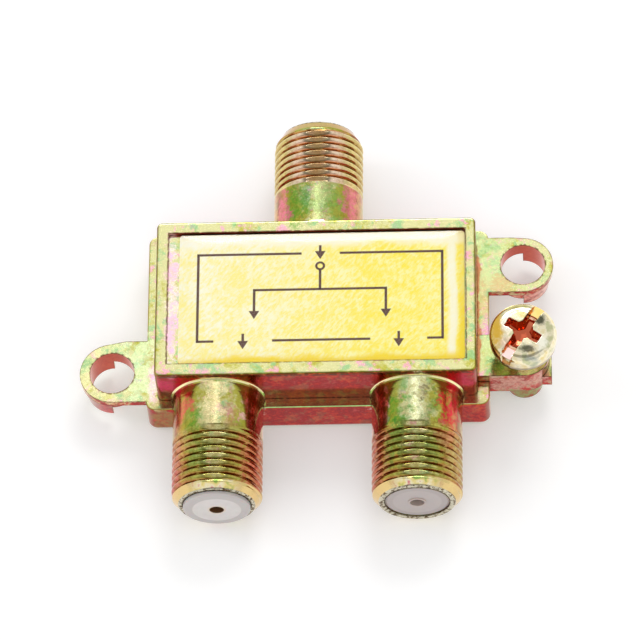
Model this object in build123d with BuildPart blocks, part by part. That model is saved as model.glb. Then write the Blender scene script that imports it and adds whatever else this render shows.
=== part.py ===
from build123d import *
import math
import os

# Coaxial splitter with one input port and two output ports, lying on its mounting face.
# Frame: origin on the mounting plane under the middle of the box, +Z out of the labelled face,
# +Y towards the input port, +X along the line of the two output ports. Millimetres.

# Box and base flange of the casting
box_width = 33.4
box_depth = 18.1
box_height = 10.3
box_corner = 0.6
box_edge = 0.25
flange_height = 4.7
flange_side = 1.25
flange_front = 1.1
flange_back = 1.4
flange_corner = 1.0
flange_foot_round = 0.8
flange_edge = 0.15
side_wall = 1.3
roof = 1.2
cast_root = 1.0  # how far each cast feature reaches into the one that carries it

# Label recess and label
# Each rim is what stands between the recess and that side of the box
rim_left = 1.24
rim_right = 1.05
rim_front = 1.4
rim_back = 1.27
recess_depth = 0.5
recess_corner = 0.3
label_left_gap = 1.18
label_gap = 0.15
foil_thickness = 0.12
dome_edge = 0.1
dome_rise = 0.28
dome_shoulder = 1.5

# Ports, threaded 3/8-32 outside
port_height = 4.75
port_radius = 4.725
port_flare = 0.3
# The flare's outline, as shares of the flange's overhang and of the flare
flare_curve = ((0.0, 1.0), (0.05, 0.55), (0.14, 0.3), (0.3, 0.16), (1.0, 0.0))
inlet_length = 12.8
outlet_length = 12.35
outlet_inset = 6.35  # from the side of the box to the port's axis
thread_first_groove = 5.4
thread_pitch = 0.794
thread_grooves = 8
thread_depth = 0.42
thread_half_mouth = 0.27
thread_last_crest = 0.5
thread_flat = 4.58  # distance from port axis to the parting flats across the thread
nose_radius = 3.97
rim_height = 0.12

# Inside of the ports
mouth_radius = 3.5
mouth_depth = 2.6
lip_radius = 3.38
open_lip_radius = 3.54
lip_height = 0.3
bore_radius = 2.9
port_floor = 1.6
fit_gap = 0.02

# Port insulators and their rear bushings
disc_edge = 0.25
disc_recess = 0.1
disc_proud = 0.45  # the left output's insulator has crept out of its mouth
pin_hole_radius = 0.74
pin_hole_length = 1.2
hub_radius = 0.92
hub_height = 0.12
socket_radius = 1.5
socket_length = 2.4
bushing_radius = 2.0
bushing_head_radius = 2.8
bushing_head = 0.8

# Centre contacts
contact_radius = 1.0
contact_bore = 0.45
contact_gap = 0.05
contact_slot = 0.3
contact_slot_length = 3.5
tail_radius = 0.4
tail_reach = 2.5

# Mounting ears
ear_hole_radius = 2.33
ear_plate = 0.8
ear_skirt = 3.4
ear_ring_depth = 1.8
ear_ring_wall = 0.75
ear_draft = 0.45
ear_reach = 4.85  # from the side of the box to the middle of the hole
left_ear_inset = 3.3  # from the front of the box
left_ear_radius = 3.4
right_ear_inset = 2.8  # from the back of the box
right_ear_radius = 3.2
ear_shoulder = 1.35  # where the raised upper side of an ear ends, from the middle of its hole
left_ear_rise = 0.33
right_ear_rise = 0.1

# Ground lug and its screw, an M3 thread under a wide pan head with slot and cross
lug_top = 5.95
lug_thickness = 3.5
lug_radius = 2.43
lug_reach = 5.02
lug_inset = 3.98
lug_foot_radius = 1.95
lug_stub = 0.27
lug_stub_front = 1.76
lug_stub_back = 0.7
lug_stub_height = 1.8
screw_reach = 4.83
screw_inset = 3.92
screw_radius = 1.5
screw_clearance = 0.05
screw_pitch = 0.5
screw_thread_depth = 0.28
screw_length = 5.9
screw_backed_out = 3.15
head_radius = 3.5
head_side = 1.3
head_round = 1.2
head_crown = 0.15
slot_angle = 57.0
slot_width = 1.2
slot_depth = 0.9
cross_span = 3.9
cross_width = 0.95
cross_depth = 1.7
cross_taper = 12.0

# Back cover, pressed from sheet
cover_sheet = 0.4
cover_inset = 0.1
cover_ledge = 0.8
cover_gap = 0.05
cover_rim = 1.6

# Circuit board and the two cast posts that carry it
board_side_gap = 1.4
board_end_gap = 0.85
board_thickness = 1.0
post_side_inset = 1.7
post_back_inset = 2.4
post_radius = 1.2
post_pin_radius = 0.6
post_pin_reach = 0.6

# Parts on the board
core_width = 4.8
core_depth = 3.0
core_headroom = 1.25
core_spacing = 5.4
core_hole_radius = 0.6
core_hole_spacing = 2.6
core_edge = 0.4
wire_radius = 0.15
turn_gap = 0.04
turn_count = 3
match_core_inset = 4.3  # from the back edge of the board
split_core_gap = 0.75
resistor_inset = 1.3  # from the front edge of the board
resistor_radius = 0.85
resistor_length = 3.6
resistor_lead_span = 6.0
capacitor_headroom = 0.35
capacitor_thickness = 1.3
capacitor_lead_span = 2.5
capacitor_stand = 0.5
input_capacitor_x = 4.6
input_capacitor_inset = 3.5  # from the back edge of the board
match_capacitor_place = (7.6, -1.4)
lead_radius = 0.22
solder_radius = 0.95
solder_height = 1.0
post_solder_radius = 1.0
post_solder_height = 0.7

# Worked out from the values above
box_half_width = box_width / 2
box_half_depth = box_depth / 2
cavity_half_width = box_half_width - side_wall
cavity_half_depth = box_half_depth - side_wall
recess_floor = box_height - recess_depth
cavity_top = recess_floor - roof
outlet_x = box_half_width - outlet_inset
recess_left = box_half_width - rim_left
recess_right = box_half_width - rim_right
recess_front = box_half_depth - rim_front
recess_back = box_half_depth - rim_back
left_ear = (-box_half_width - ear_reach, left_ear_inset - box_half_depth)
right_ear = (box_half_width + ear_reach, box_half_depth - right_ear_inset)
lug_centre = (box_half_width + lug_reach, lug_inset - box_half_depth)
screw_place = (box_half_width + screw_reach, screw_inset - box_half_depth)
board_half_width = cavity_half_width - board_side_gap
board_half_depth = cavity_half_depth - board_end_gap
board_top = port_height - tail_radius
board_bottom = board_top - board_thickness
board_room = cavity_top - board_top
post_x = board_half_width - post_side_inset
post_y = board_half_depth - post_back_inset
lug_bottom = lug_top - lug_thickness
head_seat = lug_top + screw_backed_out
head_height = head_side + head_round + head_crown
loop_half_width = core_hole_spacing / 2
loop_half_depth = core_depth / 2 + 2 * wire_radius
lead_offset = loop_half_depth + wire_radius / 2
turn_step = 2 * wire_radius + turn_gap
core_height = board_room - core_headroom
capacitor_radius = (board_room - capacitor_stand - capacitor_headroom) / 2
resistor_place = (0.0, resistor_inset - board_half_depth)
split_core_place = (0.0, resistor_place[1] + resistor_radius + split_core_gap + lead_offset)
match_core_place = (-core_spacing, board_half_depth - match_core_inset)
input_capacitor_place = (input_capacitor_x, board_half_depth - input_capacitor_inset)
cover_half_width = cavity_half_width + cover_ledge
cover_half_depth = cavity_half_depth + cover_ledge

os.makedirs("parts", exist_ok=True)


def save(piece, name):
    """Labels one finished piece and writes it to its own file."""
    piece.part.label = name
    export_step(piece.part, f"parts/{name}.step")


def port_plane(x, direction):
    """A plane whose X runs out of the port from the box wall and whose Y is the radius."""
    origin = (x, direction * box_half_depth, port_height)
    return Plane(origin=origin, x_dir=(0, direction, 0), z_dir=(direction, 0, 0))


# name, x of the axis, direction of the mouth along Y, length, overhang of the flange below it,
# radius of the lip round the insulator, how far the insulator stands out of its seat
ports = [
    ("in", 0.0, 1, inlet_length, flange_back, lip_radius, 0.0),
    ("out_left", -outlet_x, -1, outlet_length, flange_front, open_lip_radius, disc_proud + disc_recess),
    ("out_right", outlet_x, -1, outlet_length, flange_front, lip_radius, 0.0),
]


def port_outline(length, overhang):
    """Half section of a port's outside: flared root, plain shoulder, thread, cone and rim."""
    points = [(-cast_root, 0), (-cast_root, port_radius + port_flare)]
    for along_share, flare_share in flare_curve:
        points.append((along_share * overhang, port_radius + flare_share * port_flare))
    for turn in range(thread_grooves):
        middle = thread_first_groove + turn * thread_pitch
        points.append((middle - thread_half_mouth, port_radius))
        points.append((middle, port_radius - thread_depth))
        points.append((middle + thread_half_mouth, port_radius))
    cone_start = thread_first_groove + (thread_grooves - 1) * thread_pitch + thread_last_crest
    points.append((cone_start, port_radius))
    points.append((length - rim_height, nose_radius))
    points.append((length, nose_radius))
    points.append((length, 0))
    return points


def insulator_outline(length, lip, proud):
    """Half section of an insulator: disc in the mouth and socket tube round the contact behind it."""
    back = length - mouth_depth + proud
    face = length - disc_recess + proud
    nose = mouth_radius if proud else lip - fit_gap
    socket_bore = contact_radius + contact_gap
    points = [(back - socket_length, socket_bore), (back - socket_length, socket_radius)]
    points += [(back, socket_radius), (back, mouth_radius)]
    if not proud:
        points += [(length - lip_height, mouth_radius), (length - lip_height, nose)]
    points += [(face - disc_edge / 2, nose), (face, nose - disc_edge)]
    if not proud:
        points += [(face, hub_radius), (face + hub_height, hub_radius)]
    points.append((face if proud else face + hub_height, pin_hole_radius))
    points += [(face - pin_hole_length, pin_hole_radius), (face - pin_hole_length, socket_bore)]
    return points


def ring_groove_outline(radius, depth, pitch, start, end):
    """Closed half section of a shank with V grooves, from its axis outwards."""
    points = [(0, start), (radius - depth, start)]
    count = int((start - end) / pitch)
    for turn in range(count):
        crest = start - (turn + 0.5) * pitch
        points.append((radius, crest + 0.1 * pitch))
        points.append((radius, crest - 0.1 * pitch))
        points.append((radius - depth, crest - 0.5 * pitch))
    points.append((radius - depth, end))
    points.append((0, end))
    return points


# Housing: one zinc casting
with BuildPart() as housing:
    flange_depth = box_depth + flange_front + flange_back
    flange_middle = (flange_back - flange_front) / 2
    with BuildSketch():
        with Locations((0, flange_middle)):
            RectangleRounded(box_width + 2 * flange_side, flange_depth, flange_corner)
    extrude(amount=flange_height)
    fillet(housing.edges().group_by(Axis.Z)[0], flange_foot_round)
    fillet(housing.edges().group_by(Axis.Z)[-1], flange_edge)
    with BuildSketch(Plane.XY.offset(flange_height - cast_root)):
        RectangleRounded(box_width, box_depth, box_corner)
    extrude(amount=box_height - flange_height + cast_root)
    fillet(housing.edges().group_by(Axis.Z)[-1], box_edge)

    # Mounting ears: a thin plate, a ring under its inner half and a drafted skirt under its outer half
    for (ear_x, ear_y), ear_radius, ear_rise, side in (
        (left_ear, left_ear_radius, left_ear_rise, -1),
        (right_ear, right_ear_radius, right_ear_rise, 1),
    ):
        plate_root = side * (box_half_width + flange_side - cast_root)
        ear_back = ear_y + ear_radius + ear_rise
        ear_front = (ear_x, ear_y - ear_radius)
        shoulder = (ear_x - side * ear_shoulder, ear_back)
        # The slope from the shoulder meets the round end of the plate on a tangent
        shoulder_bearing = math.atan2(ear_back - ear_y, -side * ear_shoulder)
        tangent_turn = math.acos(ear_radius / math.hypot(ear_shoulder, ear_back - ear_y))
        tangent_bearing = shoulder_bearing - side * tangent_turn
        tangent_x = ear_x + ear_radius * math.cos(tangent_bearing)
        tangent_y = ear_y + ear_radius * math.sin(tangent_bearing)
        with BuildSketch(Plane.XY.offset(flange_height - ear_plate)):
            with BuildLine():
                ThreePointArc(ear_front, (ear_x + side * ear_radius, ear_y), (tangent_x, tangent_y))
                Polyline((tangent_x, tangent_y), shoulder, (plate_root, ear_back))
                Polyline((plate_root, ear_back), (plate_root, ear_y - ear_radius), ear_front)
            make_face()
        extrude(amount=ear_plate)
        ear_axis = Axis((ear_x, ear_y, 0), (0, 0, 1))
        with BuildSketch(Plane(origin=(ear_x, ear_y, flange_height), x_dir=(0, side, 0), z_dir=(side, 0, 0))):
            with BuildLine():
                Polyline(
                    (0, 0), (ear_radius, 0), (ear_radius - ear_draft, -ear_skirt), (0, -ear_skirt), close=True
                )
            make_face()
        revolve(axis=ear_axis, revolution_arc=-180)
        with BuildSketch(Plane(origin=(ear_x, ear_y, flange_height), x_dir=(0, side, 0), z_dir=(side, 0, 0))):
            with Locations(((ear_hole_radius + ear_ring_wall) / 2, -ear_ring_depth / 2)):
                Rectangle(ear_hole_radius + ear_ring_wall, ear_ring_depth)
        revolve(axis=ear_axis, revolution_arc=180)

    # Ground lug: a tongue from the box wall over the flange, a foot under it and a stub at its end
    with BuildSketch(Plane.XY.offset(lug_bottom)):
        with Locations(lug_centre):
            Circle(lug_radius)
        lug_root = box_half_width - cast_root / 2
        with Locations(((lug_centre[0] + lug_root) / 2, lug_centre[1])):
            Rectangle(lug_centre[0] - lug_root, 2 * lug_radius)
    extrude(amount=lug_thickness)
    with BuildSketch():
        with Locations(screw_place):
            Circle(lug_foot_radius)
    extrude(amount=lug_bottom + cast_root)
    stub_end = lug_centre[0] + lug_radius + lug_stub
    with BuildSketch(Plane.XY.offset(lug_bottom)):
        with Locations(((stub_end + lug_centre[0]) / 2, lug_centre[1] + (lug_stub_back - lug_stub_front) / 2)):
            Rectangle(stub_end - lug_centre[0], lug_stub_front + lug_stub_back)
    extrude(amount=lug_stub_height)

    # Ports, with parting flats across the top and bottom of each thread
    for _, port_x, direction, length, overhang, _, _ in ports:
        with BuildSketch(port_plane(port_x, direction)):
            with BuildLine():
                Polyline(*port_outline(length, overhang), close=True)
            make_face()
        revolve(axis=Axis((port_x, 0, port_height), (0, 1, 0)))
        thread_length = thread_grooves * thread_pitch
        flat_middle = thread_first_groove - thread_half_mouth + thread_length / 2
        for flat_side in (-1, 1):
            flat_height = port_radius - thread_flat
            flat_place = (
                port_x,
                direction * (box_half_depth + flat_middle),
                port_height + flat_side * (thread_flat + flat_height / 2),
            )
            with Locations(flat_place):
                Box(port_radius, thread_length, flat_height, mode=Mode.SUBTRACT)

    # Nothing of the casting stands below the mounting face
    with Locations((0, 0, -box_height / 2)):
        Box(4 * box_width, 4 * box_width, box_height, mode=Mode.SUBTRACT)

    # Cavity, with its ledge for the cover, open at the mounting face
    with BuildSketch():
        RectangleRounded(2 * cavity_half_width, 2 * cavity_half_depth, box_corner)
    extrude(amount=cavity_top, mode=Mode.SUBTRACT)
    with BuildSketch():
        RectangleRounded(2 * cover_half_width, 2 * cover_half_depth, box_corner)
    extrude(amount=cover_inset + cover_sheet, mode=Mode.SUBTRACT)

    # Posts from the roof that carry the board
    for post_side in (-1, 1):
        with BuildSketch(Plane.XY.offset(board_top)):
            with Locations((post_side * post_x, post_y)):
                Circle(post_radius)
        extrude(amount=cavity_top - board_top + roof / 2)
        with BuildSketch(Plane.XY.offset(board_bottom - post_pin_reach)):
            with Locations((post_side * post_x, post_y)):
                Circle(post_pin_radius)
        extrude(amount=board_thickness + post_pin_reach + cast_root)

    # Label recess
    with BuildSketch(Plane.XY.offset(recess_floor)):
        with Locations(((recess_right - recess_left) / 2, (recess_back - recess_front) / 2)):
            RectangleRounded(recess_left + recess_right, recess_front + recess_back, recess_corner)
    extrude(amount=2 * recess_depth, mode=Mode.SUBTRACT)

    # Bores of the ports
    for _, port_x, direction, length, _, lip, _ in ports:
        with BuildSketch(port_plane(port_x, direction)):
            with BuildLine():
                Polyline(
                    (-2 * side_wall, 0),
                    (-2 * side_wall, bushing_radius + fit_gap),
                    (port_floor, bushing_radius + fit_gap),
                    (port_floor, bore_radius),
                    (length - mouth_depth, bore_radius),
                    (length - mouth_depth, mouth_radius + fit_gap),
                    (length - lip_height, mouth_radius + fit_gap),
                    (length - lip_height, lip),
                    (length + lip_height, lip),
                    (length + lip_height, 0),
                    close=True,
                )
            make_face()
        revolve(axis=Axis((port_x, 0, port_height), (0, 1, 0)), mode=Mode.SUBTRACT)

    # Holes of the ears and of the lug
    for ear_place in (left_ear, right_ear):
        with BuildSketch():
            with Locations(ear_place):
                Circle(ear_hole_radius)
        extrude(amount=box_height, mode=Mode.SUBTRACT)
    with BuildSketch():
        with Locations(screw_place):
            Circle(screw_radius + screw_clearance)
    extrude(amount=box_height, mode=Mode.SUBTRACT)
save(housing, "housing")

# Back cover: a shallow pressed tray, its rim standing into the cavity
with BuildPart() as back_cover:
    with BuildSketch(Plane.XY.offset(cover_inset)):
        RectangleRounded(2 * (cover_half_width - cover_gap), 2 * (cover_half_depth - cover_gap), box_corner)
    extrude(amount=cover_sheet - cover_gap)
    rim_half_width = cavity_half_width - cover_gap
    rim_half_depth = cavity_half_depth - cover_gap
    with BuildSketch(Plane.XY.offset(cover_inset)):
        RectangleRounded(2 * rim_half_width, 2 * rim_half_depth, box_corner)
        RectangleRounded(
            2 * (rim_half_width - cover_sheet), 2 * (rim_half_depth - cover_sheet), box_corner / 2, mode=Mode.SUBTRACT
        )
    extrude(amount=cover_rim)
save(back_cover, "back_cover")

# Label: printed foil on the floor of the recess, with clear resin domed over it
label_left = -recess_left + label_left_gap
label_right = recess_right - label_gap
label_front = -recess_front + label_gap
label_back = recess_back - label_gap
label_middle = ((label_left + label_right) / 2, (label_front + label_back) / 2)
label_size = (label_right - label_left, label_back - label_front)
with BuildPart() as label_foil:
    with BuildSketch(Plane.XY.offset(recess_floor)):
        with Locations(label_middle):
            RectangleRounded(*label_size, recess_corner)
    extrude(amount=foil_thickness)
save(label_foil, "label_foil")

with BuildPart() as label_dome:
    with BuildSketch(Plane.XY.offset(recess_floor + foil_thickness)):
        with Locations(label_middle):
            Rectangle(*label_size)
    extrude(amount=dome_edge + dome_rise)
    chamfer(label_dome.edges().group_by(Axis.Z)[-1], length=dome_rise, length2=dome_shoulder)
save(label_dome, "label_dome")

# Ground screw: pan head with a slot and a cross, grooved shank
with BuildPart() as ground_screw:
    screw_axis = Axis((*screw_place, 0), (0, 0, 1))
    with BuildSketch(Plane(origin=(*screw_place, head_seat), x_dir=(1, 0, 0), z_dir=(0, -1, 0))):
        with BuildLine():
            shoulder_radius = head_radius - head_round
            shoulder_height = head_side + head_round
            round_reach = head_round * math.sqrt(0.5)
            Polyline((0, head_height), (0, 0), (head_radius, 0), (head_radius, head_side))
            ThreePointArc(
                (head_radius, head_side),
                (shoulder_radius + round_reach, head_side + round_reach),
                (shoulder_radius, shoulder_height),
            )
            ThreePointArc(
                (shoulder_radius, shoulder_height),
                (shoulder_radius / 2, shoulder_height + 0.75 * head_crown),
                (0, head_height),
            )
        make_face()
    revolve(axis=screw_axis)
    with BuildSketch(Plane(origin=(*screw_place, head_seat), x_dir=(1, 0, 0), z_dir=(0, -1, 0))):
        with BuildLine():
            Polyline(
                *ring_groove_outline(screw_radius, screw_thread_depth, screw_pitch, cast_root / 4, -screw_length),
                close=True,
            )
        make_face()
    revolve(axis=screw_axis)
    crown = head_seat + head_height
    with Locations(Location((*screw_place, crown), (0, 0, slot_angle))):
        Box(3 * head_radius, slot_width, 2 * slot_depth, mode=Mode.SUBTRACT)
    for arm_angle in (slot_angle, slot_angle + 90):
        with BuildSketch(Plane.XY.offset(crown)):
            with Locations(Location((*screw_place, 0), (0, 0, arm_angle))):
                Rectangle(cross_span, cross_width)
        extrude(amount=-cross_depth, taper=cross_taper, mode=Mode.SUBTRACT)
save(ground_screw, "ground_screw")

# Insides of each port: insulator in the mouth, contact down the middle, bushing at the floor
for name, port_x, direction, length, _, lip, proud in ports:
    section = port_plane(port_x, direction)
    port_axis = Axis((port_x, 0, port_height), (0, 1, 0))
    with BuildPart() as insulator:
        with BuildSketch(section):
            with BuildLine():
                Polyline(*insulator_outline(length, lip, proud), close=True)
            make_face()
        revolve(axis=port_axis)
    save(insulator, f"insulator_{name}")

    floor = port_floor + bushing_head
    mouth = length - mouth_depth
    tail_end = -side_wall - tail_reach
    with BuildPart() as contact:
        with BuildSketch(section):
            with BuildLine():
                Polyline(
                    (tail_end, 0),
                    (tail_end, tail_radius),
                    (floor, tail_radius),
                    (floor, contact_radius),
                    (mouth, contact_radius),
                    (mouth, contact_bore),
                    (mouth - 1.5 * contact_slot_length, contact_bore),
                    (mouth - 1.5 * contact_slot_length, 0),
                    close=True,
                )
            make_face()
        revolve(axis=port_axis)
        slot_middle = box_half_depth + mouth - contact_slot_length / 2
        with Locations((port_x, direction * slot_middle, port_height)):
            Box(contact_slot, contact_slot_length, 3 * contact_radius, mode=Mode.SUBTRACT)
    save(contact, f"contact_{name}")

    with BuildPart() as bushing:
        with BuildSketch(section):
            with BuildLine():
                Polyline(
                    (-side_wall, tail_radius + fit_gap),
                    (-side_wall, bushing_radius),
                    (port_floor, bushing_radius),
                    (port_floor, bushing_head_radius),
                    (floor, bushing_head_radius),
                    (floor, tail_radius + fit_gap),
                    close=True,
                )
            make_face()
        revolve(axis=port_axis)
    save(bushing, f"bushing_{name}")

    # Solder joint: a low cone of solder over the tail of the contact
    solder_y = direction * (cavity_half_depth - tail_reach + solder_radius)
    with BuildPart() as solder:
        with Locations((port_x, solder_y, board_top + solder_height / 2)):
            Cone(solder_radius, solder_radius / 2, solder_height)
        with Locations((port_x, direction * cavity_half_depth, port_height)):
            Cylinder(tail_radius + fit_gap, 4 * tail_reach, rotation=(90, 0, 0), mode=Mode.SUBTRACT)
    save(solder, f"solder_{name}")

# Where the leads of the windings, the resistor and the capacitors go through the board
winding_leads = []
for core_place in (match_core_place, split_core_place):
    for lead_side in (-1, 1):
        winding_leads.append((core_place[0] + lead_side * loop_half_width / 2, core_place[1] - lead_offset))
part_leads = []
for place, span in (
    (resistor_place, resistor_lead_span),
    (input_capacitor_place, capacitor_lead_span),
    (match_capacitor_place, capacitor_lead_span),
):
    for lead_side in (-1, 1):
        part_leads.append((place[0] + lead_side * span / 2, place[1]))

# Circuit board, with a hole for each post and each lead
with BuildPart() as circuit_board:
    with BuildSketch(Plane.XY.offset(board_bottom)):
        Rectangle(2 * board_half_width, 2 * board_half_depth)
        with Locations((-post_x, post_y), (post_x, post_y)):
            Circle(post_pin_radius + contact_gap, mode=Mode.SUBTRACT)
        with Locations(*winding_leads):
            Circle(wire_radius + fit_gap, mode=Mode.SUBTRACT)
        with Locations(*part_leads):
            Circle(lead_radius + fit_gap, mode=Mode.SUBTRACT)
    extrude(amount=board_thickness)
save(circuit_board, "circuit_board")

# Solder that grounds the board to each post
for side_name, post_side in (("left", -1), ("right", 1)):
    with BuildPart() as post_solder:
        with Locations((post_side * post_x, post_y, board_bottom - post_solder_height / 2)):
            Cone(post_pin_radius, post_solder_radius, post_solder_height)
            Cylinder(post_pin_radius, 2 * post_solder_height, mode=Mode.SUBTRACT)
    save(post_solder, f"ground_solder_{side_name}")

# Two-hole ferrite cores, each with a winding through both holes
core_middle = board_top + core_height / 2
for name, (core_x, core_y) in (("match", match_core_place), ("split", split_core_place)):
    with BuildPart() as core:
        with Locations((core_x, core_y, core_middle)):
            Box(core_width, core_depth, core_height)
        fillet(core.edges().filter_by(Axis.Y), core_edge)
        for hole_side in (-1, 1):
            with Locations((core_x + hole_side * core_hole_spacing / 2, core_y, core_middle)):
                Cylinder(core_hole_radius, 2 * core_depth, rotation=(90, 0, 0), mode=Mode.SUBTRACT)
    save(core, f"{name}_core")

    with BuildPart() as winding:
        for turn in range(turn_count):
            turn_z = core_middle + (turn - (turn_count - 1) / 2) * turn_step
            with BuildLine(Plane(origin=(core_x, core_y, turn_z))) as loop:
                FilletPolyline(
                    (-loop_half_width, -loop_half_depth),
                    (loop_half_width, -loop_half_depth),
                    (loop_half_width, loop_half_depth),
                    (-loop_half_width, loop_half_depth),
                    radius=3 * wire_radius,
                    close=True,
                )
            with BuildSketch(Plane(origin=loop.line @ 0, z_dir=loop.line % 0)):
                Circle(wire_radius)
            sweep(path=loop.line)
        lead_top = core_middle + (turn_count - 1) / 2 * turn_step
        for lead_side in (-1, 1):
            with BuildSketch(Plane.XY.offset(board_bottom)):
                with Locations((core_x + lead_side * loop_half_width / 2, core_y - lead_offset)):
                    Circle(wire_radius)
            extrude(amount=lead_top - board_bottom)
    save(winding, f"{name}_winding")

# Balance resistor between the outputs, lying on its bent leads
with BuildPart() as balance_resistor:
    resistor_middle = board_top + resistor_radius + lead_radius
    with Locations((*resistor_place, resistor_middle)):
        Cylinder(resistor_radius, resistor_length, rotation=(0, 90, 0))
    fillet(balance_resistor.edges(), resistor_radius / 3)
    half_span = resistor_lead_span / 2
    with BuildLine(Plane.XZ.offset(-resistor_place[1])) as lead_path:
        FilletPolyline(
            (-half_span, board_bottom),
            (-half_span, resistor_middle),
            (half_span, resistor_middle),
            (half_span, board_bottom),
            radius=2 * lead_radius,
        )
    with BuildSketch(Plane(origin=(-half_span, resistor_place[1], board_bottom))):
        Circle(lead_radius)
    sweep(path=lead_path.line)
save(balance_resistor, "balance_resistor")

# Disc capacitors, standing on two leads
for name, capacitor_place in (("input", input_capacitor_place), ("match", match_capacitor_place)):
    disc_middle = board_top + capacitor_stand + capacitor_radius
    with BuildPart() as capacitor:
        with Locations((*capacitor_place, disc_middle)):
            Cylinder(capacitor_radius, capacitor_thickness, rotation=(90, 0, 0))
        fillet(capacitor.edges().filter_by(GeomType.CIRCLE), capacitor_thickness / 3)
        for lead_side in (-1, 1):
            with BuildSketch(Plane.XY.offset(board_bottom)):
                with Locations((capacitor_place[0] + lead_side * capacitor_lead_span / 2, capacitor_place[1])):
                    Circle(lead_radius)
            extrude(amount=disc_middle - board_bottom)
    save(capacitor, f"{name}_capacitor")
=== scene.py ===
import math

import bmesh
import bpy
from mathutils import Matrix, Vector, noise


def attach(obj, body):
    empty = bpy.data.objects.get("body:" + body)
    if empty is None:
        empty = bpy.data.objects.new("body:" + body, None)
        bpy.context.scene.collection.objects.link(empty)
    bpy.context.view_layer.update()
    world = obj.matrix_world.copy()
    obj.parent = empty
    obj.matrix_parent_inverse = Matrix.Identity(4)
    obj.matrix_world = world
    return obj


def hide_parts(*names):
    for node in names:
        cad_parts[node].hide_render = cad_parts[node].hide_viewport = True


# Looks of a coaxial splitter: an iridescent yellow-zinc plated casting with three threaded ports,
# a domed gold label, a ground screw and the board inside. Lengths are in millimetres, scaled by MM,
# and colours are screen values from 0 to 255.
MM = 0.001

# Sizes shared with the CAD source
BOX_HALF_DEPTH = 9.05
PORT_HEIGHT = 4.75
PORT_RADIUS = 4.725
THREAD_START = 5.13
THREAD_PITCH = 0.794
THREAD_DEPTH = 0.42
CREST_END = 11.458
THREAD_FLAT = 4.58
NOSE_RADIUS = 3.97
FOIL_TOP = 9.92
OUTLET_X = 10.35
OUTLET_LENGTH = 12.35
INLET_EXTRA = 0.45
EARS = ((-21.55, -5.75), (21.55, 6.25))
SCREW_AXIS = (21.53, -5.13)
SCREW_SEAT = 9.1
SCREW_LENGTH = 5.9
SCREW_PITCH = 0.5
# x of the axis, direction of the mouth along Y, length from the box wall, lip radius
PORTS = (
    (0.0, 1, 12.8, 3.38),
    (-10.35, -1, 12.35, 3.54),
    (10.35, -1, 12.35, 3.38),
)
# Left, right, front and back edges of the recess for the label
RECESS_EDGES = (-15.46, 15.65, -7.65, 7.78)

# Resin on the label: left, right, front and back edges, its heights above the foil at the edge and
# in the middle, and how far in from the edge it rises
RESIN_EDGES = (-14.27, 15.49, -7.49, 7.62)
RESIN_EDGE = 0.1
RESIN_CROWN = 0.37
RESIN_SHOULDER = 1.75
RESIN_CORNER = 0.5
RESIN_RIPPLE = 0.012
RESIN_COLUMNS, RESIN_ROWS = 150, 80

# Threads of the ports: how finely they are meshed, and the steps of the cone behind the rim
THREAD_SEGMENTS = 168
RINGS_PER_PITCH = 12
NOSE_STEPS = 8
CAD_NORMAL = "cad_normal"  # where a copied mesh keeps the normals of the CAD piece

# Ground screw: its head above the seat, the worn slot and cross in it, and its shank
HEAD_SEGMENTS = 288
HEAD_TOP, HEAD_CROWN = 2.5, 0.15
HEAD_FLAT_RADIUS, HEAD_ROUND = 2.3, 1.2
SLOT_ANGLE = 57.0
SLOT_HALF_WIDTH, SLOT_DEPTH = 0.56, 0.86
SLOT_FLOOR = 1.79
CROSS_REACH, CROSS_HALF_WIDTH, CROSS_DEPTH = 1.95, 0.5, 1.7
SHANK_SEGMENTS = 72
SHANK_RADIUS = 1.5
SHANK_THREAD_DEPTH = 0.28

# Print on the label: left, right, back and front lines of the frame, and the divider sign in it
PRINT_WIDTH = 0.27
PRINT_FRAME = (-12.3, 13.2, 5.25, -4.95)
DIVIDER_CENTRE, DIVIDER_FORK, DIVIDER_ARM = 0.45, 1.0, 7.0
ARROW_HEAD, ARROW_HALF_WIDTH = 0.95, 0.55

# Camera, from a fit to the photograph
CAMERA_PLACE = (26.413, -265.895, 507.312)
CAMERA_TARGET = (0.214, -0.047, 5.0)
CAMERA_ROLL = math.radians(-6.02)
CAMERA_LENS = 305.1

# Light of the pale surroundings on dull surfaces
WORLD_LIGHT = 0.72
# What shiny surfaces see of them, and where, as soft limits of direction: axis, low edge, low full,
# high full and high edge
TENT_LIGHT = 0.94
PANEL_LIGHT, PANEL = 0.44, (
    ("X", -0.19, -0.13, 0.05, 0.11), ("Z", 0.62, 0.72, 0.93, 0.97), ("Y", 0.15, 0.25, None, None)
)
BAND_LIGHT, LOW_BAND = 9.0, (
    ("X", -0.34, -0.26, 0.2, 0.28), ("Z", 0.56, 0.6, 0.7, 0.74), ("Y", 0.1, 0.3, None, None)
)
SHADE_LIGHT, DARK_FRONT = -0.5, (("Y", -1.2, -1.1, -0.4, -0.2), ("Z", 0.5, 0.62, 0.84, 0.92))
# Soft lamps, aimed at the object: name, place and size in metres, power in watts
LAMPS = (
    ("key", (0.12, 0.42, 0.5), (0.3, 0.2), 0.9),
    ("side", (-0.45, 0.05, 0.35), (0.2, 0.4), 0.4),
    ("front", (0.1, -0.5, 0.6), (0.3, 0.3), 0.4),
)
FLOOR_HALF = 1.5
FLOOR_SEEN_GLOW, FLOOR_REFLECTED_GLOW = 0.3, 0.45

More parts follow.
